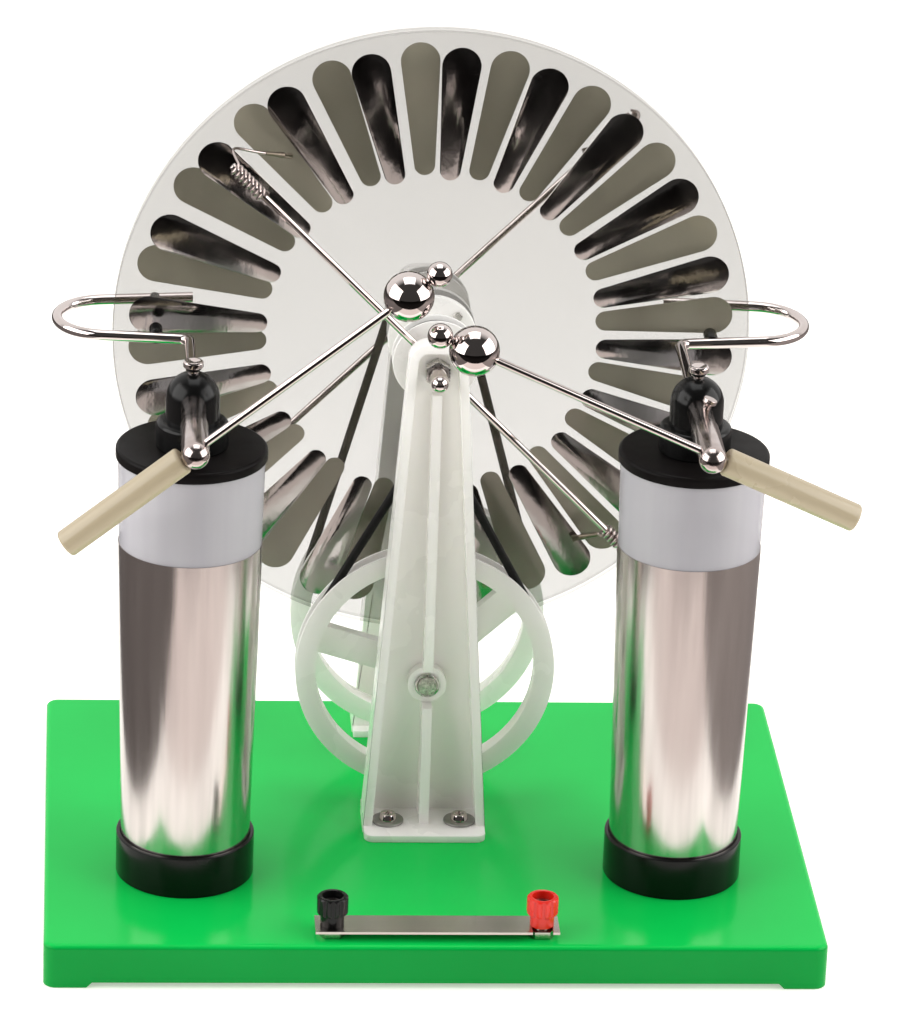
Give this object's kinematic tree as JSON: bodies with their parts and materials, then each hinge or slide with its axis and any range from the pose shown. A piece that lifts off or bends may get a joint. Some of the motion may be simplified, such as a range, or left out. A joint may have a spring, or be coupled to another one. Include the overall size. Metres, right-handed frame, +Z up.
{
  "type": "electrostatic generator",
  "caption": "Hand-cranked influence machine: counter-turning foil plates between two uprights, charge jars, brush rods and a ball spark gap on a moulded base.",
  "frame": {"origin": "on the surface that the base stands on, under the middle of the base", "axes": "+X to the right along the front edge of the base, +Y to the back, +Z up"},
  "size_m": [0.3128, 0.2846, 0.3449],
  "materials": {
    "green_base": "glossy moulded green plastic",
    "milky_plastic": "milky greenish white moulded plastic",
    "clear_plate": "clear acrylic sheet with polished edge",
    "foil": "bright aluminium foil",
    "jar_foil": "aluminium foil pressed on plastic",
    "chrome": "polished chrome plate",
    "steel": "zinc-plated steel",
    "spring_steel": "drawn spring wire",
    "black_steel": "blackened steel",
    "nickel": "nickel-plated brass",
    "brass": "bare brass",
    "white_plastic": "white moulded plastic",
    "black_plastic": "satin black moulded plastic",
    "ivory_plastic": "ivory plastic rod",
    "jar_plastic": "clear blow-moulded plastic",
    "belt_rubber": "round dark rubber cord",
    "black_cap": "black moulded plastic",
    "red_cap": "red moulded plastic"
  },
  "bodies": {
    "root": {"base": "green_base", "contact_strips": "brass", "front_upright": "milky_plastic", "rear_upright": "milky_plastic", "upright_screws": "chrome", "upright_washers": "steel", "base_nuts": "steel", "main_axle": "chrome", "axle_nuts": "chrome", "plate_spacer": "white_plastic", "front_belt": "belt_rubber", "rear_belt": "belt_rubber", "jar_holders": "black_plastic", "left_jar": "jar_plastic", "right_jar": "jar_plastic", "outer_foils": "jar_foil", "inner_foils": "jar_foil", "left_lid": "black_plastic", "right_lid": "black_plastic", "left_dome": "black_plastic", "right_dome": "black_plastic", "dome_screws": "chrome", "inner_contacts": "brass", "left_fork": "chrome", "right_fork": "chrome", "collector_pins": "black_plastic", "jar_bolts": "steel", "socket_posts": "nickel"},
    "drive": {"drive_axle": "steel", "front_drive_wheel": "milky_plastic", "rear_drive_wheel": "milky_plastic", "set_screws": "black_steel", "axle_rings": "black_steel", "crank_arm": "black_steel", "crank_pin": "steel"},
    "crank_grip": {"crank_handle": "black_plastic"},
    "front_disc": {"front_plate": "clear_plate", "front_sectors": "foil", "front_hub_pulley": "white_plastic", "front_hub_screws": "steel"},
    "rear_disc": {"rear_plate": "clear_plate", "rear_sectors": "foil", "rear_hub_pulley": "white_plastic", "rear_hub_screws": "steel"},
    "front_neutralizer": {"front_brush_rods": "chrome", "front_brush_wires": "spring_steel", "front_brushes": "brass"},
    "rear_neutralizer": {"rear_brush_rods": "chrome", "rear_brush_wires": "spring_steel", "rear_brushes": "brass"},
    "left_arm": {"left_spark_tube": "chrome"},
    "left_rod": {"left_spark_rod": "chrome", "left_handle": "ivory_plastic"},
    "right_arm": {"right_spark_tube": "chrome"},
    "right_rod": {"right_spark_rod": "chrome", "right_handle": "ivory_plastic"},
    "link": {"link_strip": "nickel"},
    "black_knob": {"black_cap": "black_cap"},
    "red_knob": {"red_cap": "red_cap"}
  },
  "joints": [
    {"name": "crank_turn", "type": "hinge", "parent": "root", "child": "drive", "pos_m": [0, 0.044, 0.0799], "axis": [0, 1, 0], "continuous": true},
    {"name": "grip_turn", "type": "hinge", "parent": "drive", "child": "crank_grip", "pos_m": [0, 0.164, 0.0319], "axis": [0, 1, 0], "continuous": true},
    {"name": "front_disc_turn", "type": "hinge", "parent": "root", "child": "front_disc", "pos_m": [0, 0.044, 0.2156], "axis": [0, 1, 0], "continuous": true},
    {"name": "rear_disc_turn", "type": "hinge", "parent": "root", "child": "rear_disc", "pos_m": [0, 0.044, 0.2156], "axis": [0, 1, 0], "continuous": true},
    {"name": "front_brush_tilt", "type": "hinge", "parent": "root", "child": "front_neutralizer", "pos_m": [0, 0.044, 0.2156], "axis": [0, 1, 0], "range_deg": [-15, 15]},
    {"name": "rear_brush_tilt", "type": "hinge", "parent": "root", "child": "rear_neutralizer", "pos_m": [0, 0.044, 0.2156], "axis": [0, 1, 0], "range_deg": [-15, 15]},
    {"name": "left_arm_swing", "type": "hinge", "parent": "root", "child": "left_arm", "pos_m": [-0.0986, -0.1005, 0.2227], "axis": [0, -1, 0], "range_deg": [-2, 48]},
    {"name": "left_rod_slide", "type": "slide", "parent": "left_arm", "child": "left_rod", "axis": [-0.7804, 0, -0.6252], "range_m": [0, 0.06]},
    {"name": "right_arm_swing", "type": "hinge", "parent": "root", "child": "right_arm", "pos_m": [0.0986, -0.1005, 0.2227], "axis": [0, 1, 0], "range_deg": [-2, 48]},
    {"name": "right_rod_slide", "type": "slide", "parent": "right_arm", "child": "right_rod", "axis": [0.9114, 0, -0.4115], "range_m": [0, 0.06]},
    {"name": "link_swing", "type": "hinge", "parent": "root", "child": "link", "pos_m": [-0.0415, -0.1035, 0.0223], "axis": [0, 0, 1], "range_deg": [0, 40]},
    {"name": "black_knob_turn", "type": "hinge", "parent": "root", "child": "black_knob", "pos_m": [-0.0415, -0.1035, 0.03], "axis": [0, 0, 1], "range_deg": [0, 340]},
    {"name": "red_knob_turn", "type": "hinge", "parent": "root", "child": "red_knob", "pos_m": [0.0415, -0.1035, 0.03], "axis": [0, 0, 1], "range_deg": [0, 340]}
  ],
  "couplings": [
    {"joint": "front_disc_turn", "follows": "crank_turn", "ratio": -3.4452},
    {"joint": "rear_disc_turn", "follows": "crank_turn", "ratio": 3.4452}
  ]
}
